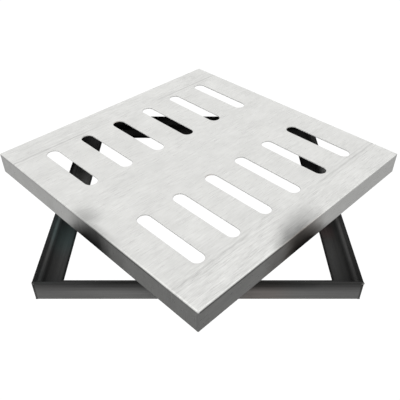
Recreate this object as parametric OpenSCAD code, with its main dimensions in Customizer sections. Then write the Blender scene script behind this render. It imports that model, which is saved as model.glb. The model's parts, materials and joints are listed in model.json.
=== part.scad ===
// Slotted square drain cover, lying turned across the angle steel frame that it belongs to.
// Sizes are in millimetres. The origin is the centre of the frame's underside, Z is up, X runs
// along the slots and Y across them. The frame is turned about Z, and the cover isn't.
// Front, right, back and left are named as seen by someone who stands on the +X -Y side.

/* [Cover sheet] */
// Side of the square cover, over the skirt
cover_side = 300; // [200:1:400]
// Height of the cover, from the skirt's lower edge to the top face
cover_h = 23.5; // [15:0.5:40]
// Thickness of the cover's sheet
sheet_t = 1.5; // [1:0.1:3]
// Inside radius of the folds between the top and the skirt
fold_in_r = 0.5; // [0.3:0.1:3]
// Radius left on the skirt's corners where their welds are ground
cover_grind_r = 0.8; // [0.2:0.1:1.2]

/* [Slots] */
// Width of a slot, and so the diameter of its round ends
slot_w = 14; // [6:0.5:18]
// Number of slots in a column
slot_rows = 6; // [2:1:8]
// Number of columns side by side
slot_cols = 2; // [1:1:3]
// Land between the outermost slots and the cover's side
side_land = 33; // [20:0.5:50]
// Land between the slots' outer ends and the cover's side
end_land = 34.8; // [20:0.2:50]
// Land between the slot ends of neighbouring columns
middle_land = 68.4; // [30:0.2:90]

/* [Frame angle] */
// Height of the angle's standing leg
leg_h = 20; // [12:0.5:40]
// Width of the angle's lying leg, over the standing one
flange_w = 20; // [12:0.5:40]
// Thickness of both legs
angle_t = 3; // [2:0.1:4]
// Radius of the root between the legs
root_r = 3.5; // [1:0.1:5]
// Radius of the toes, on the inner edge of each leg
toe_r = 1.5; // [0.5:0.1:1.8]
// Space all round between the frame and the skirt when the cover is dropped over it
lap_gap = 7.5; // [1:0.1:12]

/* [Frame welds] */
// Width of the weld in each outer corner of the frame
corner_weld_w = 2; // [1:0.1:3]
// Depth of the weld along each mitre, in the underside of the lying legs
mitre_weld_d = 1; // [0.4:0.1:1.5]
// Radius left on the frame's corners where their welds are ground
frame_grind_r = 0.6; // [0.2:0.1:0.9]

/* [Cover's place on the frame] */
// Turn of the frame under the cover
frame_turn = 45; // [35:1:55]
// Place of the cover's centre along X
cover_x = -14.8; // [-20:0.1:20]
// Place of the cover's centre along Y
cover_y = 15.5; // [-20:0.1:20]

/* [Hidden] */
$fn = 64;

// How far a cutter runs past the faces that it cuts
past = 1;
fold_out_r = fold_in_r + sheet_t;
// The sheet is notched back to where its folds become flat, and the weld fills the notch
cover_weld_w = fold_out_r;
slot_len = (cover_side - 2 * end_land - (slot_cols - 1) * middle_land) / slot_cols;
col_pitch = slot_len + middle_land;
row_pitch = (cover_side - 2 * side_land - slot_w) / (slot_rows - 1);
frame_side = cover_side - 2 * (sheet_t + lap_gap);
spur_r = corner_weld_w / 2;

// Quarter turns from the front to each rail of the frame and each corner of the cover.
// A corner of the frame counts as the rail whose right-hand end it closes, seen from outside.
FRONT = 0;
RIGHT = 1;
BACK = 2;
LEFT = 3;

// Block on edge whose two upper corners are rounded, as an outline centred on X
module arch(width, height, r) {
    translate([-width / 2, 0]) square([width, height - r]);
    translate([-width / 2 + r, 0]) square([width - 2 * r, height]);
    for (side = [-1, 1])
        translate([side * (width / 2 - r), height - r]) circle(r);
}

// Square block whose four top edges are rounded and meet in mitres
module folded_block(side, height, r) {
    intersection() {
        rotate([90, 0, 0]) linear_extrude(side, center = true) arch(side, height, r);
        rotate([90, 0, 90]) linear_extrude(side, center = true) arch(side, height, r);
    }
}

// Upright bar that cuts a square notch in the +X -Y corner of a block
module corner_notch(side, width, height) {
    translate([side / 2 - width, -side / 2 - past, -past])
        cube([width + past, width + past, height + 2 * past]);
}

// Upright bar that fills that notch, with its outer edge ground round
module ground_corner(side, width, height, r) {
    translate([side / 2 - width, -side / 2, 0]) linear_extrude(height) {
        translate([0, r]) square([width, width - r]);
        square([width - r, width]);
        translate([width - r, r]) circle(r);
    }
}

// Where the cover lies, on top of the frame's standing legs
module cover_place() {
    translate([cover_x, cover_y, leg_h]) children();
}

module slot() {
    square([slot_len - slot_w, slot_w], center = true);
    for (end = [-1, 1])
        translate([end * (slot_len - slot_w) / 2, 0]) circle(d = slot_w);
}

module slot_pattern() {
    for (col = [0 : slot_cols - 1], row = [0 : slot_rows - 1])
        translate([
            (col - (slot_cols - 1) / 2) * col_pitch,
            (row - (slot_rows - 1) / 2) * row_pitch
        ]) slot();
}

// The sheet once folded, before its slots and corner notches
module folded_pan() {
    difference() {
        folded_block(cover_side, cover_h, fold_out_r);
        translate([0, 0, -past])
            folded_block(cover_side - 2 * sheet_t, cover_h - sheet_t + past, fold_in_r);
    }
}

// One sheet: top with its slots, and a skirt folded down on all four sides
module cover() {
    color("gainsboro") cover_place() difference() {
        folded_pan();
        translate([0, 0, cover_h - sheet_t - past])
            linear_extrude(sheet_t + 2 * past) slot_pattern();
        for (corner = [FRONT : LEFT])
            rotate(90 * corner) corner_notch(cover_side, cover_weld_w, cover_h);
    }
}

// Weld metal that closes the skirt at one corner, ground flush with both sides
module cover_weld(corner) {
    color("silver") cover_place() intersection() {
        folded_pan();
        rotate(90 * corner)
            ground_corner(cover_side, cover_weld_w, cover_h, cover_grind_r);
    }
}

// What rolling rounds off a toe, for a toe whose sharp corner would be the origin
module toe_cut() {
    translate([-toe_r, -toe_r]) difference() {
        square(toe_r + past);
        circle(toe_r);
    }
}

// Section of the rolled angle: X inwards from its outer face, Y up from its underside
module angle_section() {
    difference() {
        union() {
            square([angle_t, leg_h]);
            square([flange_w, angle_t]);
            square(angle_t + root_r);
        }
        translate([angle_t + root_r, angle_t + root_r]) circle(root_r);
        translate([angle_t, leg_h]) toe_cut();
        translate([flange_w, angle_t]) toe_cut();
    }
}

// The frame's front rail in place, cut to 45 degrees at both ends, before welding
module mitred_rail() {
    intersection() {
        translate([-frame_side / 2, -frame_side / 2, 0])
            rotate([90, 0, 90]) linear_extrude(frame_side) angle_section();
        translate([0, 0, -past]) linear_extrude(leg_h + 2 * past)
            polygon([[0, 0], [frame_side, -frame_side], [-frame_side, -frame_side]]);
    }
}

// V along the underside of the front rail's right-hand mitre
module mitre_groove() {
    rotate([90, 0, 45]) linear_extrude(frame_side)
        polygon([[-mitre_weld_d - past, -past], [mitre_weld_d + past, -past], [0, mitre_weld_d]]);
}

// What is bevelled away from the front rail's right-hand end for its weld
module weld_groove() {
    corner_notch(frame_side, corner_weld_w, leg_h);
    mitre_groove();
}

module frame_rail(rail) {
    color([0.25, 0.25, 0.26]) rotate(frame_turn + 90 * rail) difference() {
        mitred_rail();
        weld_groove();
        rotate(-90) weld_groove();
    }
}

// Weld metal that joins a rail's right-hand end to the next rail
module frame_weld(rail) {
    color([0.32, 0.32, 0.33]) rotate(frame_turn + 90 * rail) intersection() {
        union() {
            mitred_rail();
            rotate(90) mitred_rail();
        }
        union() {
            ground_corner(frame_side, corner_weld_w, leg_h, frame_grind_r);
            mitre_groove();
        }
    }
}

// Spur of weld metal left standing on top of the front rail's right-hand corner
module spur() {
    translate([
        frame_side / 2 - spur_r / 2,
        -frame_side / 2 + spur_r / 2,
        leg_h - spur_r / 2
    ]) sphere(spur_r);
}

module frame_weld_with_spur() {
    frame_weld(FRONT);
    color([0.45, 0.45, 0.45]) rotate(frame_turn) spur();
}

cover();
cover_weld(FRONT);  // cover_weld_front
cover_weld(RIGHT);  // cover_weld_right
cover_weld(BACK);  // cover_weld_back
cover_weld(LEFT);  // cover_weld_left
frame_rail(FRONT);  // frame_rail_front
frame_rail(RIGHT);  // frame_rail_right
frame_rail(BACK);  // frame_rail_back
frame_rail(LEFT);  // frame_rail_left
frame_weld_with_spur();  // frame_weld_front_right
frame_weld(RIGHT);  // frame_weld_back_right
frame_weld(BACK);  // frame_weld_back_left
frame_weld(LEFT);  // frame_weld_front_left
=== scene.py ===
# %% [markdown]
# A slotted drain cover of brushed stainless sheet lies turned across its own frame of dark angle steel.
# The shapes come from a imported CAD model. This lesson adds the light, the camera and above all the
# finishes: grain that runs over the folds, stains, ground edges and mill scale.
#
# The model is loaded first, as a fixed frame. Every piece that is made here goes where the frame says.

# %% Load the frame
import json
import math

import bpy
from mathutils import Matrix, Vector

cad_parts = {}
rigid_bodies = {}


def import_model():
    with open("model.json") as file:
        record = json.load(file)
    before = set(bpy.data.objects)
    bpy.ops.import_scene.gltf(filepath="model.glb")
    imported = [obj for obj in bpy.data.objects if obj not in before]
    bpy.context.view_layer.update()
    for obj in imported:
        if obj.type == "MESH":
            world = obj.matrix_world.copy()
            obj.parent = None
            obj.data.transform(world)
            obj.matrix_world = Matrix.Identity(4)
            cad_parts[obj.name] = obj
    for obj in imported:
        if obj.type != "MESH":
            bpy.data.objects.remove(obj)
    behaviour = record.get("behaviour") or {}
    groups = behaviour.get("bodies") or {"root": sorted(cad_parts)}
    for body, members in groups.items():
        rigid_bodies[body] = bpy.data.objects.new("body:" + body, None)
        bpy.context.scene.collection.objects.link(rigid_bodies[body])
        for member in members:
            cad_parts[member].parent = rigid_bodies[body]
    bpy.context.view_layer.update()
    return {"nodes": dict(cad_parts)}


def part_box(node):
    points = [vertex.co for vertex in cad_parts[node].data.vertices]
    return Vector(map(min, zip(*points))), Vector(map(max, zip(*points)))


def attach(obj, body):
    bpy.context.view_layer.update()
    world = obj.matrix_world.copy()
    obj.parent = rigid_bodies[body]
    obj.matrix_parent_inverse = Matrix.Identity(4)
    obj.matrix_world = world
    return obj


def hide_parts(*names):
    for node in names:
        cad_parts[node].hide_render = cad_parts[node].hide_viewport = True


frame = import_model()
print("pieces in the frame:", len(frame["nodes"]))

# %% [markdown]
# The camera stands where it stood for the picture. Its place was worked out from the square cover's
# corners: lines that are parallel on a square meet at two points in the picture, and those two give the
# lens and the tilt. Guessing by eye would take longer and end further off.

# %% Camera
MM = 0.001
camera_place = Vector((306.0, -303.3, 345.9)) * MM
camera_tilt = math.radians(50.98)
camera_turn = math.radians(45)
bpy.ops.object.camera_add(location=camera_place, rotation=(camera_tilt, 0, camera_turn))
camera = bpy.context.object
camera.data.lens = 45.77
camera.data.sensor_width = 36
bpy.context.scene.camera = camera
print("camera is", round(camera_place.length / MM), "mm from the middle of the frame")

# %% [markdown]
# The stage is a pale floor under an even sky. Steel shows little of its own colour: nearly all that is
# seen in it is the room. So the stage is built for what the steel mirrors.
#
# Cycles lets each object choose which rays meet it, so several floors can lie in one place. The camera
# sees plain white paper that throws no light back. Dull surfaces are lit by a grey floor, and polished
# ones mirror a darker one with a bright card on each side. The outer halves of the skirt mirror the
# cards, and the halves next to the front corner mirror the dark floor between them.

# %% Helpers for the stage
scene = bpy.context.scene
scene.view_settings.view_transform = "Standard"
WHITE = (1, 1, 1)


def plain_material(name, kind, colour, strength=None):
    """A stage material of one shader and one colour."""
    material = bpy.data.materials.new(name)
    material.use_nodes = True
    tree = material.node_tree
    tree.nodes.clear()
    shader = tree.nodes.new(kind)
    shader.inputs["Color"].default_value = (*colour, 1)
    if strength is not None:
        shader.inputs["Strength"].default_value = strength
    output = tree.nodes.new("ShaderNodeOutputMaterial")
    tree.links.new(shader.outputs[0], output.inputs["Surface"])
    return material


def stage_piece(name, material, meets):
    """Names the object that was just added, and says which rays meet it: camera, diffuse or glossy."""
    piece = bpy.context.object
    piece.name = name
    piece.data.materials.append(material)
    piece.visible_camera = "camera" in meets
    piece.visible_diffuse = "diffuse" in meets
    piece.visible_glossy = "glossy" in meets
    piece.visible_shadow = False
    return piece


# %% Floors and backdrop
# The floors are layers just under the steel, so that none lies in another. These sizes are in metres.
floor_size = 6
backdrop_r = 12
paper_z = -0.3 * MM
lit_z = -0.2 * MM
mirrored_z = -0.15 * MM
card_z = -0.1 * MM

paper = plain_material("paper", "ShaderNodeEmission", WHITE, 1.05)
bpy.ops.mesh.primitive_plane_add(size=backdrop_r, location=(0, 0, paper_z))
stage_piece("paper_floor", paper, {"camera"})
bpy.ops.mesh.primitive_ico_sphere_add(subdivisions=4, radius=backdrop_r)
stage_piece("paper_backdrop", paper, {"camera"})

lit_floor = plain_material("lit_floor", "ShaderNodeBsdfDiffuse", (0.3, 0.3, 0.3))
bpy.ops.mesh.primitive_plane_add(size=floor_size, location=(0, 0, lit_z))
stage_piece("lit_floor", lit_floor, {"diffuse"})
mirrored_floor = plain_material("mirrored_floor", "ShaderNodeEmission", WHITE, 0.168)
bpy.ops.mesh.primitive_plane_add(size=floor_size, location=(0, 0, mirrored_z))
stage_piece("mirrored_floor", mirrored_floor, {"glossy"})

# %% [markdown]
# The two cards lie on the floor left and right of the steel. Two soft boxes hang further out, high up
# in the sky: the rounded folds of the cover pick them up as thin bright lines, which is what makes a
# folded edge look round. Lower down, the flat top would mirror them too in views from the side.

# %% Cards and soft boxes
card_size = 800 * MM
card_gap = 148 * MM
box_size = 900 * MM
box_away = 2400 * MM
box_up = math.radians(54)
card = plain_material("card", "ShaderNodeEmission", WHITE, 0.42)
box_light = plain_material("box_light", "ShaderNodeEmission", WHITE, 1.4)
for side, name in ((-1, "left"), (1, "right")):
    reach = side * (card_gap + card_size / 2) / math.sqrt(2)
    bpy.ops.mesh.primitive_plane_add(
        size=card_size, location=(reach, reach, card_z), rotation=(0, 0, camera_turn)
    )
    stage_piece("card_" + name, card, {"diffuse", "glossy"}).scale.y = 2

    far = side * math.cos(box_up) * box_away / math.sqrt(2)
    bpy.ops.mesh.primitive_plane_add(
        size=box_size,
        location=(far, far, math.sin(box_up) * box_away),
        rotation=(0, side * (math.radians(90) - box_up), camera_turn),
    )
    stage_piece("soft_box_" + name, box_light, {"glossy"})

# %% Sky
world = bpy.data.worlds.new("even_sky")
world.use_nodes = True
world.node_tree.nodes["Background"].inputs["Color"].default_value = (0.92, 0.92, 0.92, 1)
scene.world = world

# %% [markdown]
# From here on, the pieces that show most are modelled anew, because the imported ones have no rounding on
# their cut edges, and an edge with no rounding catches no light.
#
# The cover is one sheet. It could be made as a plate with four strips, but then its folds would be
# seams. So it starts as a box with no floor, the four upper edges are bevelled into folds, and only
# then does Solidify give the sheet its thickness, inwards, so that the outside stays where it was.

# %% Sizes
# Lengths are in millimetres from here on, and MM turns them into metres where Blender is called.
cover_low, cover_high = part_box("cover")
cover_middle = (cover_low + cover_high) / 2
half_cover = (cover_high.x - cover_low.x) / 2 / MM
cover_h = (cover_high.z - cover_low.z) / MM
sheet_t = 1.5
fold_r = 2.0
rim_r = 0.35
hem_r = 0.18
past = 1.0  # how far a cutter runs past the faces that it cuts
TINY = 0.01  # places closer together than this count as the same
MERGE = 0.002  # vertices closer together than this become one
print("half the cover's side:", round(half_cover, 2), "mm, its height:", round(cover_h, 2), "mm")


# %% Helpers for modelling
def edit(piece):
    """Opens the piece alone in edit mode, with nothing selected in its mesh."""
    bpy.ops.object.select_all(action="DESELECT")
    piece.select_set(True)
    bpy.context.view_layer.objects.active = piece
    bpy.ops.object.mode_set(mode="EDIT")
    bpy.ops.mesh.select_all(action="DESELECT")


def pick(piece, kind, test):
    """Selects the faces, edges or vertices whose middle, in mm, passes the test."""
    bpy.ops.mesh.select_mode(type=kind)
    bpy.ops.mesh.select_all(action="DESELECT")
    bpy.ops.object.mode_set(mode="OBJECT")
    mesh = piece.data
    count = 0
    if kind == "FACE":
        for face in mesh.polygons:
            face.select = bool(test(face.center / MM, face.normal))
            count += face.select
    elif kind == "EDGE":
        for edge in mesh.edges:
            ends = [mesh.vertices[i].co / MM for i in edge.vertices]
            edge.select = bool(test((ends[0] + ends[1]) / 2, ends[1] - ends[0]))
            count += edge.select
    else:
        for vertex in mesh.vertices:
            vertex.select = bool(test(vertex.co / MM))
            count += vertex.select
    bpy.ops.object.mode_set(mode="EDIT")
    return count


def add_box(low, high):
    """A box between two corners, in mm, with its place in its mesh."""
    low, high = Vector(low), Vector(high)
    bpy.ops.object.select_all(action="DESELECT")
    bpy.ops.mesh.primitive_cube_add(size=1, location=(low + high) / 2 * MM)
    box = bpy.context.object
    box.scale = (high - low) * MM
    bpy.ops.object.transform_apply(location=True, rotation=True, scale=True)
    return box


def use(piece, kind, **settings):
    """Adds a modifier with these settings and applies it."""
    bpy.context.view_layer.objects.active = piece
    modifier = piece.modifiers.new(kind.lower(), kind)
    for setting, value in settings.items():
        setattr(modifier, setting, value)
    bpy.ops.object.modifier_apply(modifier=modifier.name)


def cut(piece, cutter):
    """Cuts the cutter's shape out of the piece, and deletes the cutter."""
    use(piece, "BOOLEAN", operation="DIFFERENCE", solver="EXACT", object=cutter)
    bpy.data.objects.remove(cutter, do_unlink=True)


# %% Folded sheet
low = cover_low / MM
high = cover_high / MM
cover = add_box(low, high)
cover.name = "slotted_cover"
edit(cover)
pick(cover, "FACE", lambda place, normal: normal.z < -0.5)
bpy.ops.mesh.delete(type="FACE")
folds = pick(cover, "EDGE", lambda place, way: place.z > high.z - 0.1)
bpy.ops.mesh.bevel(offset=fold_r * MM, segments=8, affect="EDGES")
bpy.ops.object.mode_set(mode="OBJECT")
use(cover, "SOLIDIFY", thickness=sheet_t * MM, offset=-1, use_even_offset=True)
print("folds made:", folds, "and the sheet is", sheet_t, "mm thick")

# %% [markdown]
# The slots are cut by one cutter. Its start is a cylinder as wide as a slot: its two halves are pulled
# apart, which leaves a bar with round ends. It is copied to the twelve places.

# %% Slot cutter
slot_w = 14
slot_len = 81
slot_rows = 6
row_pitch = 44
slot_cols = 2
col_pitch = 149.4
cutter_h = 4
round_sides = 64
bpy.ops.object.select_all(action="DESELECT")
bpy.ops.mesh.primitive_cylinder_add(
    vertices=round_sides,
    radius=slot_w / 2 * MM,
    depth=cutter_h * MM,
    rotation=(0, 0, math.pi / round_sides),
)
cutter = bpy.context.object
bpy.ops.object.transform_apply(location=True, rotation=True, scale=True)
edit(cutter)
for side in (-1, 1):
    pick(cutter, "VERT", lambda place: place.x * side > 0)
    bpy.ops.transform.translate(value=(side * (slot_len - slot_w) / 2 * MM, 0, 0))
    bpy.ops.mesh.select_all(action="DESELECT")
bpy.ops.object.mode_set(mode="OBJECT")

# %% Slots
places = [
    ((col - (slot_cols - 1) / 2) * col_pitch, (row - (slot_rows - 1) / 2) * row_pitch)
    for col in range(slot_cols)
    for row in range(slot_rows)
]
cutters = []
for x, y in places:
    copy = cutter.copy()
    copy.data = cutter.data.copy()
    copy.location = (cover_middle.x + x * MM, cover_middle.y + y * MM, cover_high.z - sheet_t / 2 * MM)
    scene.collection.objects.link(copy)
    cutters.append(copy)
bpy.data.objects.remove(cutter, do_unlink=True)
bpy.ops.object.select_all(action="DESELECT")
for copy in cutters:
    copy.select_set(True)
bpy.context.view_layer.objects.active = cutters[0]
bpy.ops.object.join()
bpy.ops.object.transform_apply(location=True, rotation=True, scale=True)
cut(cover, cutters[0])
print("slots cut:", len(places))

# %% [markdown]
# Where two folds run into each other, a real sheet would tear. So its corners are notched before it is
# folded, and the notches are welded shut afterwards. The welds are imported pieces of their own, so the
# notches are cut here to the same width: the weld then fills them face to face.

# %% Notches in the corners
for side_x in (-1, 1):
    for side_y in (-1, 1):
        corner = Vector((
            high.x if side_x > 0 else low.x, high.y if side_y > 0 else low.y, low.z
        ))
        inner = corner - Vector((side_x, side_y, 0)) * fold_r
        outer = corner + Vector((side_x, side_y, 0)) * past
        cut(cover, add_box(
            (min(inner.x, outer.x), min(inner.y, outer.y), low.z - past),
            (max(inner.x, outer.x), max(inner.y, outer.y), high.z + past),
        ))

# %% [markdown]
# A punched slot has no sharp rim: it is eased by deburring, and a foot or a wheel wears it rounder. The
# edges are found by their place, as a maker would run a finger along them, and get a bevel of three
# steps. The hem is only deburred. Smooth shading by angle keeps the walls crisp and the ends round. Its
# normals are then weighted by area, or the rims would seem to bend the flat top that they border.

# %% Rims of the slots and the hem
middle = cover_middle / MM


def flat_and_smooth(piece):
    """Makes roundings look smooth, edges over 40 degrees sharp, and large faces flat."""
    bpy.ops.object.shade_smooth_by_angle(angle=math.radians(40))
    bpy.ops.object.modifier_add(type="WEIGHTED_NORMAL")
    weighted = piece.modifiers[-1]
    weighted.keep_sharp = True
    bpy.ops.object.modifier_apply(modifier=weighted.name)


def on_rim(place, way):
    """Edges where a slot's wall meets the sheet, above or below."""
    level = abs(way.z) < TINY
    at_face = min(abs(place.z - high.z), abs(place.z - high.z + sheet_t)) < TINY
    at_slot = any(
        math.hypot(
            max(abs(place.x - middle.x - x) - (slot_len - slot_w) / 2, 0), place.y - middle.y - y
        ) < slot_w / 2 + TINY
        for x, y in places
    )
    return level and at_face and at_slot


def on_hem(place, way):
    """The long edges of the skirt's underside, inner and outer."""
    return abs(place.z - low.z) < TINY and way.length > half_cover


edit(cover)
bpy.ops.mesh.select_mode(type="VERT")
bpy.ops.mesh.select_all(action="SELECT")
bpy.ops.mesh.remove_doubles(threshold=MERGE * MM)
rims = pick(cover, "EDGE", on_rim)
bpy.ops.mesh.bevel(offset=rim_r * MM, segments=3, affect="EDGES", clamp_overlap=False)
rims += pick(cover, "EDGE", on_hem)
bpy.ops.mesh.bevel(offset=hem_r * MM, segments=2, affect="EDGES", clamp_overlap=False)
bpy.ops.mesh.select_all(action="SELECT")
bpy.ops.mesh.normals_make_consistent(inside=False)
bpy.ops.object.mode_set(mode="OBJECT")
flat_and_smooth(cover)
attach(cover, "root")
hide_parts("cover")
print("edges eased:", rims, "and the cover has", len(cover.data.polygons), "faces")

# %% [markdown]
# A rail is rolled angle: two legs at a right angle, a round root between them and rounded toes, cut to
# 45 degrees at both ends. It could be extruded from a drawn section. Here it starts as the standing leg,
# and the lower part of its inner face is extruded into the lying leg, as one would do by hand.

# %% Rolled angle
frame_turn = math.radians(45)
frame_half = 141.0
leg_h = 20.0
flange_w = 20.0
angle_t = 3.0
root_r = 3.5
toe_r = 1.5
heel_r = 0.35
front = -frame_half
rail = add_box((-frame_half, front, 0), (frame_half, front + angle_t, leg_h))
rail.name = "rail"
edit(rail)
bpy.ops.mesh.select_all(action="SELECT")
bpy.ops.mesh.bisect(plane_co=(0, 0, angle_t * MM), plane_no=(0, 0, 1))
pick(rail, "FACE", lambda place, normal: normal.y > 0.5 and place.z < angle_t)
bpy.ops.mesh.extrude_region_move(
    TRANSFORM_OT_translate={"value": (0, (flange_w - angle_t) * MM, 0)}
)


def long_edges(y, z):
    """The edges that run along the rail at that place in its section."""
    return lambda place, way: (
        abs(way.x) > frame_half and abs(place.y - y) < TINY and abs(place.z - z) < TINY
    )


# %% [markdown]
# Rolling leaves a wide round root inside the angle, two round toes and nearly sharp heels. Each is an
# edge bevel. The order matters: the root goes first, while its edge is still one straight line.

# %% Roundings of the angle
heel_edges = ((front, 0), (front, leg_h), (front + flange_w, 0))
for y, z, radius, steps in (
    (front + angle_t, angle_t, root_r, 8),
    (front + angle_t, leg_h, toe_r, 6),
    (front + flange_w, angle_t, toe_r, 6),
    *((y, z, heel_r, 3) for y, z in heel_edges),
):
    found = pick(rail, "EDGE", long_edges(y, z))
    bpy.ops.mesh.bevel(offset=radius * MM, segments=steps, affect="EDGES")
    print("rounded", found, "edge at", y - front, z, "to", radius, "mm")

# %% [markdown]
# Two bisects take the ends off at 45 degrees. Where rails meet they are prepared for welding: a small
# notch in the outer corner, and a groove along the underside of the mitre. A square bar that stands on
# its edge cuts that groove, because half of it is the V that a grinder would leave.

# %% Mitred ends
for side in (-1, 1):
    bpy.ops.mesh.select_all(action="SELECT")
    bpy.ops.mesh.bisect(
        plane_co=(0, 0, 0), plane_no=(side, 1, 0), use_fill=True, clear_outer=True
    )
bpy.ops.object.mode_set(mode="OBJECT")

# %% Notches and grooves for the welds
weld_w = 2.0
for side in (-1, 1):
    x_low, x_high = sorted((side * (frame_half - weld_w), side * (frame_half + past)))
    cut(rail, add_box((x_low, front - past, -past), (x_high, front + weld_w, leg_h + past)))
groove_d = 1.0
bar_half = groove_d / math.sqrt(2)
bar_start = 160  # the mitre runs from 171 to 199 from the frame's middle
bar_end = 210
for side in (-1, 1):
    bar = add_box((bar_start, -bar_half, -bar_half), (bar_end, bar_half, bar_half))
    bar.rotation_euler = (math.radians(45), 0, math.radians(-90 + 45 * side))
    bpy.ops.object.transform_apply(location=True, rotation=True, scale=True)
    cut(rail, bar)
edit(rail)
bpy.ops.mesh.select_all(action="SELECT")
bpy.ops.mesh.remove_doubles(threshold=MERGE * MM)
bpy.ops.mesh.normals_make_consistent(inside=False)
bpy.ops.object.mode_set(mode="OBJECT")
flat_and_smooth(rail)
print("the rail has", len(rail.data.polygons), "faces")

# %% [markdown]
# All four rails are alike, so one is modelled and copied. Each copy has a mesh of its own, and its turn
# is applied to that mesh, so that a pattern that reads Object coordinates runs on over all four.

# %% Four rails
for quarter, name in enumerate(("front", "right", "back", "left")):
    copy = rail.copy()
    copy.data = rail.data.copy()
    copy.name = "angle_" + name
    scene.collection.objects.link(copy)
    copy.rotation_euler.z = frame_turn + math.radians(90 * quarter)
    bpy.ops.object.select_all(action="DESELECT")
    copy.select_set(True)
    bpy.context.view_layer.objects.active = copy
    bpy.ops.object.transform_apply(location=True, rotation=True, scale=True)
    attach(copy, "root")
    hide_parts("frame_rail_" + name)
bpy.data.objects.remove(rail, do_unlink=True)

# %% [markdown]
# A finish is a graph of nodes. Written out one node at a time, a graph takes three lines for each sum,
# so this class gives short names to the few kinds of node that the finishes need. A value may be a
# number or the output of another node.


# %% Helper for finishes
class Finish:
    """A material with a Principled shader, and short ways to add nodes to it."""

    def __init__(self, name, metallic, roughness):
        self.material = bpy.data.materials.new(name)
        self.material.use_nodes = True
        self.tree = self.material.node_tree
        self.shader = self.tree.nodes["Principled BSDF"]
        self.shader.inputs["Metallic"].default_value = metallic
        self.shader.inputs["Roughness"].default_value = roughness
        self.place = self.node("ShaderNodeTexCoord")

    def node(self, kind, **settings):
        made = self.tree.nodes.new(kind)
        for setting, value in settings.items():
            setattr(made, setting, value)
        return made

    def feed(self, socket, value):
        """Links a node's output to the socket, or sets a number on it."""
        if isinstance(value, bpy.types.NodeSocket):
            self.tree.links.new(value, socket)
        else:
            socket.default_value = value

    def math(self, operation, *values):
        made = self.node("ShaderNodeMath", operation=operation)
        for socket, value in zip(made.inputs, values):
            self.feed(socket, value)
        return made.outputs[0]

    def ramp(self, value, start, end, low=0.0, high=1.0):
        """Goes smoothly from low to high as value goes from start to end."""
        made = self.node("ShaderNodeMapRange", interpolation_type="SMOOTHSTEP")
        for name, number in (
            ("Value", value), ("From Min", start), ("From Max", end), ("To Min", low), ("To Max", high)
        ):
            self.feed(made.inputs[name], number)
        return made.outputs["Result"]

    def mix(self, share, first, second):
        """first where share is 0, second where it is 1."""
        made = self.node("ShaderNodeMix", data_type="FLOAT")
        self.feed(made.inputs[0], share)
        self.feed(made.inputs[2], first)
        self.feed(made.inputs[3], second)
        return made.outputs[0]

    def times(self, *values):
        product = values[0]
        for value in values[1:]:
            product = self.math("MULTIPLY", product, value)
        return product

    def stops(self, value, reach, places):
        """A grey that goes through the stops (place, grey), for a value from 0 to reach."""
        made = self.node("ShaderNodeValToRGB")
        self.feed(made.inputs["Fac"], self.math("DIVIDE", value, reach))
        made.color_ramp.interpolation = "EASE"
        elements = made.color_ramp.elements
        while len(elements) < len(places):
            elements.new(0.5)
        for element, (place, grey) in zip(elements, places):
            element.position = place / reach
            element.color = (grey, grey, grey, 1)
        return made.outputs["Color"]

    def split(self, vector):
        made = self.node("ShaderNodeSeparateXYZ")
        self.feed(made.inputs[0], vector)
        return made.outputs

    def join(self, x, y, z):
        made = self.node("ShaderNodeCombineXYZ")
        for socket, value in zip(made.inputs, (x, y, z)):
            self.feed(socket, value)
        return made.outputs[0]

    def placed(self, vector, scale, turn=0.0, move=(0, 0, 0)):
        """The vector scaled, turned about Z and moved, in that order."""
        made = self.node("ShaderNodeMapping")
        self.feed(made.inputs["Vector"], vector)
        made.inputs["Scale"].default_value = (scale, scale, scale)
        made.inputs["Rotation"].default_value = (0, 0, turn)
        made.inputs["Location"].default_value = move
        return made.outputs[0]

    def noise(self, vector, detail, roughness=0.5):
        """Cloudy numbers from about -1 to 1, with lumps as wide as one unit of the vector."""
        made = self.node("ShaderNodeTexNoise")
        self.feed(made.inputs["Vector"], vector)
        made.inputs["Scale"].default_value = 1.0
        made.inputs["Detail"].default_value = detail
        made.inputs["Roughness"].default_value = roughness
        return self.math("MULTIPLY_ADD", made.outputs["Fac"], 4.0, -2.0)

    def relief(self, height, depth):
        """Bumps of that depth in millimetres, for a height from about -1 to 1."""
        made = self.node("ShaderNodeBump")
        made.inputs["Distance"].default_value = depth * MM
        self.feed(made.inputs["Height"], height)
        self.feed(self.shader.inputs["Normal"], made.outputs["Normal"])

    def colour(self, red, green, blue):
        made = self.node("ShaderNodeCombineColor")
        for socket, value in zip(made.inputs, (red, green, blue)):
            self.feed(socket, value)
        return made.outputs[0]


# %% [markdown]
# The cover is cut from brushed sheet, so its grain was there before the folds were made. It runs along
# one side of the cover, goes over two of the folds and down the skirt, and runs level along the other
# two. A pattern on plain Object coordinates would smear down the skirt. So the sheet is unrolled first:
# on a skirt, the place on the flat sheet is the edge of the top plus the depth below it.

# %% Places on the sheet
sheet = Finish("brushed_sheet", metallic=1.0, roughness=0.3)
to_middle = (-cover_middle.x / MM, -cover_middle.y / MM, -cover_high.z / MM)


def cover_places(finish):
    """Places a and b from the cover's middle, and the depth below its top face."""
    place = finish.placed(finish.place.outputs["Object"], 1 / MM, move=to_middle)
    a, b, level = finish.split(place)
    return a, b, finish.math("MULTIPLY", level, -1.0)


def streaks(finish, across, along, width, length, seed, detail=2.0):
    """Streaks of that width and length, in millimetres. Each seed gives others."""
    return finish.noise(
        finish.join(
            finish.math("DIVIDE", across, width), finish.math("DIVIDE", along, length), seed
        ),
        detail,
    )


a, b, depth = cover_places(sheet)
normal_a, normal_b, normal_z = sheet.split(sheet.place.outputs["Normal"])
u = sheet.math("MULTIPLY_ADD", normal_a, depth, a)
v = sheet.math("MULTIPLY_ADD", normal_b, depth, b)

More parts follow.
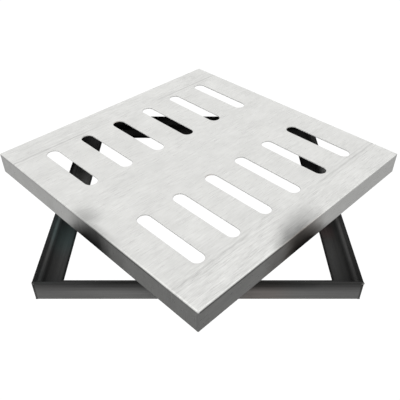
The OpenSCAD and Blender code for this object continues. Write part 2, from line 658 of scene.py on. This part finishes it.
# %% [markdown]
# Brushed grain isn't one pattern. Short fine streaks and long coarse ones lie over each other, thin
# dark scratches run through both, and dull clouds show where the brush pressed less. One stretched
# noise would look like wood, so each kind has its own width and length.

# %% Grain
fine = streaks(sheet, u, v, 1.1, 12, 1.0, 4.0)
coarse = streaks(sheet, u, v, 3.2, 48, 2.0, 1.0)
blotches = streaks(sheet, u, v, 6, 9, 6.0)
clouds = streaks(sheet, u, v, 24, 34, 3.0, 1.0)
patches = sheet.ramp(streaks(sheet, u, v, 18, 40, 4.0), -0.6, 0.8, 0.55, 1.5)
margin = sheet.ramp(sheet.math("ABSOLUTE", u), 105, 125, 0.0, 0.5)
worn_margin = sheet.times(sheet.ramp(u, 108, 130), sheet.ramp(v, 10, -70), 0.6)
strong = sheet.math("ADD", sheet.math("ADD", margin, worn_margin), patches)
grain = sheet.math("MULTIPLY_ADD", coarse, 0.6, sheet.times(fine, 1.9))
scratches = sheet.ramp(streaks(sheet, u, v, 1.1, 60, 7.0, 1.0), 0.55, 1.1)
brushed = sheet.times(strong, sheet.ramp(sheet.math("ABSOLUTE", normal_z), 0.3, 0.8, 0.4, 1.0))

# %% [markdown]
# A dark line runs outside each column of slots, with a fainter one on either side of it: the marks of
# the press that folded the skirt. They fade towards the middle of the side.

# %% Long lines beside the slots
line_at = 120.5
faint_gap = 4.4
line_off = sheet.math("ABSOLUTE", sheet.math("SUBTRACT", sheet.math("ABSOLUTE", a), line_at))
line = sheet.ramp(line_off, 2.0, 0.2)
faint_line = sheet.ramp(
    sheet.math("ABSOLUTE", sheet.math("SUBTRACT", line_off, faint_gap)), 1.3, 0.2
)
line_end = sheet.ramp(sheet.math("ABSOLUTE", b), 20, 80, 0.15, 1.0)
lines = sheet.times(sheet.math("MULTIPLY_ADD", faint_line, 0.4, line), line_end, normal_z)

# %% [markdown]
# Two dark marks go over the front folds, where the cover passes over the frame's rails. On the skirt
# each is a painted reflection of the dark rail below; over the top it is a painted dark patch. Each one
# is drawn by its distance s from the front corner and its distance e in from the edge, or its depth on
# the skirt. On the skirt a mark is steep towards the corner and widens towards the hem.

# %% Painted reflection and dark patches
front_left = sheet.ramp(normal_b, -0.45, -0.8)
front_right = sheet.ramp(normal_a, 0.45, 0.8)
on_top = sheet.ramp(normal_z, 0.1, 0.6)
smear = streaks(sheet, u, v, 5, 16, 5.0)


# On the skirt the mark is a painted reflection of the dark rail below.
def skirt_rail_reflection(s):
    """Faint near the corner, then steep, and fading out later the nearer it is to the hem."""
    near = sheet.ramp(s, 78, 100, 0.0, 0.25)
    steep = sheet.ramp(s, 102, 130, 0.0, 0.75)
    far_start = sheet.math("MULTIPLY_ADD", depth, 1.25, 123)
    far = sheet.ramp(s, far_start, 176, 1.0, 0.0)
    strength = sheet.math("MULTIPLY_ADD", depth, 0.0125, 0.68)
    return sheet.times(sheet.math("ADD", near, steep), far, strength)


# Over the top the marks are painted dark patches.
def top_dark_patch_right(s, e):
    """A wedge that narrows as it reaches in over the top."""
    start = sheet.math("MULTIPLY_ADD", e, 0.9, 84)
    rise = sheet.ramp(s, start, sheet.math("ADD", start, 28))
    fall = sheet.ramp(s, sheet.math("ADD", e, 123), 174, 1.0, 0.0)
    strength = sheet.math("MAXIMUM", sheet.math("MULTIPLY_ADD", e, -0.028, 0.69), 0.0)
    return sheet.times(rise, fall, strength)


def top_dark_patch_left(s, e):
    """A body that reaches in over the top, with a thin tail along the edge."""
    tail = sheet.times(sheet.ramp(s, 80, 135, 0.0, 0.33), sheet.ramp(e, 0, 9, 1.0, 0.0))
    body = sheet.times(sheet.ramp(s, 128, 148), sheet.ramp(e, 2, 24, 0.35, 0.0))
    fall = sheet.ramp(s, sheet.math("MULTIPLY_ADD", e, 0.3, 148), 173, 1.0, 0.0)
    return sheet.times(sheet.math("MAXIMUM", tail, body), fall)


smeared = sheet.times(smear, 2.5)
e_left = sheet.math("ADD", b, half_cover)
e_right = sheet.math("SUBTRACT", half_cover, a)
s_left = sheet.math("ADD", e_right, smeared)
s_right = sheet.math("ADD", e_left, smeared)
rail_reflection_and_patch_left = sheet.mix(
    front_left,
    sheet.times(top_dark_patch_left(s_left, e_left), on_top),
    skirt_rail_reflection(s_left),
)
rail_reflection_and_patch_right = sheet.mix(
    front_right,
    sheet.times(top_dark_patch_right(s_right, e_right), on_top),
    skirt_rail_reflection(sheet.math("ADD", s_right, 4.5)),
)
outside_reflection_and_patches = sheet.times(
    sheet.math("SUBTRACT", 1.0, rail_reflection_and_patch_left), sheet.math("SUBTRACT", 1.0, rail_reflection_and_patch_right)
)

# %% [markdown]
# The two front folds next to the front corner are painted darker, painted shade that takes the soft
# boxes' highlight off them there. Further out the right fold is painted a little brighter, a painted
# highlight. The band covers the fold only: it starts just below the top and ends where the skirt is flat.

# %% Painted shade and highlight on the folds
from_corner = sheet.math("MAXIMUM", e_left, e_right)
fold_band = sheet.times(sheet.ramp(depth, 0.3, 1.1), sheet.ramp(depth, 3.4, 1.8))
fold_shade_left = sheet.times(
    front_left, sheet.ramp(from_corner, 36, 58), sheet.ramp(from_corner, 142, 112), 0.4
)
fold_shade_and_light_right = sheet.math(
    "SUBTRACT",
    sheet.ramp(from_corner, 120, 96, -0.08, 0.41),
    sheet.ramp(from_corner, 140, 185, 0.0, 0.15),
)
fold_shade_and_light = sheet.times(fold_band, sheet.mix(front_right, fold_shade_left, fold_shade_and_light_right))

# %% [markdown]
# All of it comes together in one grey, the tone. The sheet is metal, so the tone is the share of light
# that it throws back. The painted reflection and dark patches also take down the specular tint, so
# they stay dark when seen at a slant. The right one is a little straw coloured on the skirt, as from
# heat.
# The cut walls of the slots aren't brushed: they are pale and dull, no mirror.

# %% Colour of the sheet
tone = 0.804
for pattern, share in (
    (sheet.times(grain, brushed), 0.034),
    (blotches, 0.024),
    (clouds, 0.034),
    (sheet.times(scratches, brushed), -0.045),
    (lines, -0.135),
):
    tone = sheet.math("MULTIPLY_ADD", pattern, share, tone)
tone = sheet.times(tone, outside_reflection_and_patches)
# Painted shade: a thin dark line just below the folds and another along the hem, summed with the folds'
# painted shade and highlight.
fold_shade_line = sheet.times(sheet.ramp(depth, 0.9, 1.7), sheet.ramp(depth, 3.2, 2.0), 0.17)
hem_shade = sheet.ramp(depth, cover_h - 1.3, cover_h - 0.3, 0.0, 0.22)
fold_and_hem_shade = sheet.math("ADD", fold_shade_and_light, sheet.math("ADD", fold_shade_line, hem_shade))
tone = sheet.times(tone, sheet.math("SUBTRACT", 1.0, fold_and_hem_shade))

# %% Walls, heat and the shader
off_middle = sheet.math("MAXIMUM", sheet.math("ABSOLUTE", a), sheet.math("ABSOLUTE", b))
wall = sheet.times(
    sheet.ramp(sheet.math("ABSOLUTE", normal_z), 0.6, 0.3), sheet.ramp(off_middle, 146, 140)
)
tone = sheet.mix(wall, tone, 0.95)
heated = sheet.times(rail_reflection_and_patch_right, front_right)
heated_green = sheet.math("MULTIPLY_ADD", heated, -0.12, 1.0)
heated_blue = sheet.math("MULTIPLY_ADD", heated, -0.18, 0.977)
sheet.feed(
    sheet.shader.inputs["Base Color"],
    sheet.colour(tone, sheet.times(tone, heated_green), sheet.times(tone, heated_blue)),
)
sheet.feed(sheet.shader.inputs["Metallic"], sheet.mix(wall, 1.0, 0.0))
sheet.feed(sheet.shader.inputs["Roughness"], sheet.math("MULTIPLY_ADD", grain, 0.02, 0.3))
at_slant = sheet.mix(outside_reflection_and_patches, 0.5, 1.0)
sheet.feed(sheet.shader.inputs["Specular Tint"], sheet.colour(at_slant, at_slant, at_slant))
sheet.relief(grain, 0.004)
print("the sheet's finish has", len(sheet.tree.nodes), "nodes")

# %% [markdown]
# The corner welds of the cover are ground flush. Grinding goes across the corner, so its marks are
# level, and it leaves the metal a little duller and rougher than the brushed sheet beside it.

# %% Ground welds of the cover
ground = Finish("ground_weld", metallic=1.0, roughness=0.32)
ga, gb, g_depth = cover_places(ground)
marks = streaks(ground, g_depth, ground.math("ADD", ga, gb), 0.5, 6, 8.0)
ground_tone = ground.math("MULTIPLY_ADD", marks, 0.05, 0.74)
ground.feed(
    ground.shader.inputs["Base Color"],
    ground.colour(ground_tone, ground_tone, ground.times(ground_tone, 0.985)),
)
ground.relief(marks, 0.006)

# %% [markdown]
# The frame is rolled angle with its mill scale on: dull and nearly black, and painted darker still where
# the cover shades it. Its outer face is painted paler than the inner ones, painted light, and darkest
# towards its top, painted shade under the cover's overhang. Its section is drawn as one line that goes
# down the inner face, round the root and out to the toe, and the grey follows the distance along it.
# That grey holds a painted highlight band on the standing leg's inner face, and the root is dark from
# dirt and painted shade.


# %% Places on the frame
def frame_places(finish):
    """Distance out from the frame's middle, place along the rail, height, and x and y on the frame."""
    place = finish.placed(finish.place.outputs["Object"], 1 / MM, turn=-frame_turn)
    x, y, height = finish.split(place)
    far_x = finish.math("ABSOLUTE", x)
    far_y = finish.math("ABSOLUTE", y)
    out = finish.math("MAXIMUM", far_x, far_y)
    along = finish.mix(finish.math("GREATER_THAN", far_x, far_y), x, y)
    return out, along, height, x, y


# %% Angle steel
angle = Finish("angle_steel", metallic=0.0, roughness=0.5)
angle.shader.inputs["Specular IOR Level"].default_value = 0.12
out, along, height, fx, fy = frame_places(angle)
up = angle.split(angle.place.outputs["Normal"])[2]
way = angle.math("SUBTRACT", frame_half + leg_h, angle.math("ADD", out, height))
inside = angle.stops(way, 37.0, (
    (1.5, 0.007), (3.0, 0.02), (5.5, 0.04), (8.3, 0.125), (11.5, 0.115), (15.5, 0.032),
    (19, 0.0215), (25, 0.0275), (30.5, 0.036), (34.5, 0.034), (36.8, 0.014),
))
outer_face_light_and_shade = angle.stops(height, leg_h, (
    (0, 0.12), (1.2, 0.225), (9, 0.21), (13, 0.145), (16.5, 0.085), (19.5, 0.052),
))
outer_face = angle.times(
    angle.ramp(out, frame_half - 0.8, frame_half - 0.2), angle.ramp(up, 0.7, 0.3)
)
grey = angle.mix(outer_face, inside, outer_face_light_and_shade)
# Painted light: the front rail's leg top is paler towards its ends, away from the cover's overhang.
front_top_light = angle.times(
    angle.ramp(fy, front + 2, front + 1.2),
    angle.ramp(up, 0.5, 0.9),
    angle.ramp(angle.math("ABSOLUTE", fx), 62, 150),
)
grey = angle.math("MULTIPLY_ADD", front_top_light, 0.056, grey)

# %% [markdown]
# Rolling draws the scale out into long faint streaks, with a seed of their own in each quarter of the
# frame, or facing rails would match. Away from the outer faces the grey is painted paler near the
# cover's edge, painted light against the cover's shadow, and painted darker at the corners that stand
# out from under it. Further in, under the cover, the grey is painted dark: painted shade. On the outer
# faces the scale is rubbed off most in the middle of a rail. Their upper part carries a painted shadow
# of the cover, and is painted paler towards the rail's ends.

# %% Rolled streaks, painted light and shade near the cover, and painted shade under it
quarter_seed = angle.math("MULTIPLY_ADD", angle.math("SIGN", fx), 3.0, angle.math("SIGN", fy))
rolled = streaks(angle, angle.math("ADD", height, out), along, 1.6, 60, quarter_seed)
grey = angle.times(grey, angle.math("MULTIPLY_ADD", rolled, 0.13, 1.0))
ca, cb, _ = cover_places(angle)
to_front = angle.math("MAXIMUM", ca, angle.math("MULTIPLY", cb, -1.0))
to_back = angle.math("MAXIMUM", angle.math("MULTIPLY", ca, -1.0), cb)
# Painted light near the cover's edge, and painted shade at the far corners.
lit_near_cover = angle.ramp(angle.math("MAXIMUM", to_front, to_back), 225, 140, 0.42, 1.97)
rubbed_along = angle.ramp(angle.math("ABSOLUTE", along), 60, 136, 1.08, 0.89)
# Painted shadow of the cover on the outer faces' upper part, paler towards the rail's ends.
upper_light_at_ends = angle.stops(angle.math("ADD", fx, frame_half), 2 * frame_half, (
    (15, 1.0), (41, 0.76), (61, 0.41), (81, 0.38),
    (201, 0.0), (226, 0.1), (236, 0.3), (249, 0.68), (266, 0.78),
))
upper_shadow_and_light = angle.mix(
    angle.ramp(height, 10.5, 17.5), 1.0, angle.math("MULTIPLY_ADD", upper_light_at_ends, 0.7, 0.55)
)
grey = angle.times(grey, angle.mix(outer_face, lit_near_cover, angle.times(rubbed_along, upper_shadow_and_light)))
# Painted shade under the cover and behind it.
under_cover_shade = angle.times(angle.ramp(to_front, 50, 112, 0.3, 1.0), angle.ramp(to_back, 85, 130, 1.0, 0.3))
shade = angle.math("MAXIMUM", under_cover_shade, angle.ramp(to_back, 166, 184, 0.0, 0.7))
grey = angle.times(grey, shade)

# %% [markdown]
# Through the slots the two side rails differ, in painted light and shade. On the left one the lying leg
# is painted paler, painted light, and the standing leg painted darker, painted shade. On the right one
# the standing leg is painted pale along its top, a painted highlight. Both begin under the cover, so
# they don't show beside it.

# %% Legs under the cover
inner_faces = angle.math("SUBTRACT", 1.0, outer_face)
under = angle.times(inner_faces, angle.ramp(fy, -15, 15))
left_leg_light_and_shade = angle.mix(angle.ramp(way, 17.5, 14.5), angle.ramp(fy, 45, 100, 3.8, 5.5), 0.4)
grey = angle.times(grey, angle.mix(angle.times(under, angle.ramp(fx, -110, -118)), 1.0, left_leg_light_and_shade))
right_leg_highlight = angle.times(
    under, angle.ramp(fx, 132, 136), angle.ramp(way, 13, 4), angle.ramp(fy, 50, 85, 0.17, 0.15)
)
grey = angle.math("ADD", grey, right_leg_highlight)

# %% [markdown]
# Where the cover was welded and ground close by, heat has left temper colours on the frame: a cold
# green on the left rail and a faint brown on the front one. The green patch also brightens the grey,
# painted light near the cover's edge. On the right rail's lying leg, where water drips off the skirt,
# there is a trace of rust. Each is a round patch that fades out.


# %% Temper colours
def patch(x, y, reach):
    """1 round that place on the frame, and 0 beyond the reach."""
    off_x = angle.math("SUBTRACT", fx, x)
    off_y = angle.math("SUBTRACT", fy, y)
    off = angle.math("SQRT", angle.math("ADD", angle.times(off_x, off_x), angle.times(off_y, off_y)))
    return angle.ramp(off, reach * 0.2, reach, 1.0, 0.0)


by_corner = angle.times(patch(-137, -139, 30), inner_faces)
teal_tint_and_light = angle.math("MULTIPLY_ADD", by_corner, 0.25, patch(-128, -63, 38))
brown = patch(54, -139, 34)
rust = angle.times(patch(127, -57, 17), angle.ramp(fx, 137, 133))
# Painted light: the green patch lifts the grey as well as tinting it.
grey = angle.times(grey, angle.math("MULTIPLY_ADD", teal_tint_and_light, 0.25, 1.0))
warm_red = angle.math("MULTIPLY_ADD", brown, 0.05, angle.math("MULTIPLY_ADD", rust, 0.28, 1.0))
warm_green = angle.math("MULTIPLY_ADD", brown, -0.03, 1.0)
warm_blue = angle.math("MULTIPLY_ADD", brown, -0.06, 0.985)
red = angle.times(grey, angle.math("MULTIPLY_ADD", teal_tint_and_light, -0.22, warm_red))
green = angle.times(grey, angle.math("MULTIPLY_ADD", teal_tint_and_light, 0.06, warm_green))
blue = angle.times(grey, angle.math("MULTIPLY_ADD", teal_tint_and_light, 0.06, warm_blue))
angle.feed(angle.shader.inputs["Base Color"], angle.colour(red, green, blue))
# Painted shade on the reflections: the specular tint follows the painted shade.
shaded_reflection = angle.ramp(shade, 0.1, 0.8, 0.1, 1.0)
angle.feed(angle.shader.inputs["Specular Tint"], angle.colour(shaded_reflection, shaded_reflection, shaded_reflection))

# %% Gloss and relief of the scale
grain_size = 1.8
mill_scale = angle.noise(angle.placed(angle.place.outputs["Object"], 1 / MM / grain_size), 5.0, 0.6)
dusty = angle.ramp(shade, 0.1, 0.6, 0.78, 0.5)
angle.feed(angle.shader.inputs["Roughness"], angle.math("MULTIPLY_ADD", mill_scale, 0.06, dusty))
angle.relief(mill_scale, 0.03)
print("the angle steel's finish has", len(angle.tree.nodes), "nodes")

# %% [markdown]
# The frame's welds were ground with a coarse disc. In the outer corners the bare metal has gone dark
# again, but the spur that was left standing on one corner is newer and paler.

# %% Welds of the frame
weld = Finish("frame_weld", metallic=0.0, roughness=0.45)
weld.shader.inputs["Specular IOR Level"].default_value = 0.2
w_out, _, w_height, wx, wy = frame_places(weld)
w_grey = weld.stops(w_height, leg_h, ((0, 0.06), (1.5, 0.11), (9, 0.1), (14, 0.06), (19.5, 0.03)))
disc = streaks(weld, w_height, weld.math("ADD", wx, wy), 0.6, 5, 9.0)
w_grey = weld.times(w_grey, weld.math("MULTIPLY_ADD", disc, 0.2, 1.0))
spur = weld.times(
    weld.ramp(w_out, frame_half - 0.1, frame_half + 0.1),
    weld.ramp(w_height, leg_h - 1.8, leg_h - 1.2),
)
w_grey = weld.mix(spur, w_grey, 0.3)
weld.feed(
    weld.shader.inputs["Base Color"],
    weld.colour(w_grey, w_grey, weld.times(w_grey, 0.98)),
)
weld.relief(disc, 0.02)

# %% Finishes on the pieces
cover.data.materials.append(sheet.material)
for piece in scene.objects:
    if piece.name.startswith("angle_"):
        piece.data.materials.append(angle.material)
        piece.visible_glossy = False
for name, node in frame["nodes"].items():
    if name.startswith("cover_weld"):
        node.material_slots[0].material = ground.material
    elif name.startswith("frame_weld"):
        node.material_slots[0].material = weld.material
    node.visible_glossy = not name.startswith("frame")
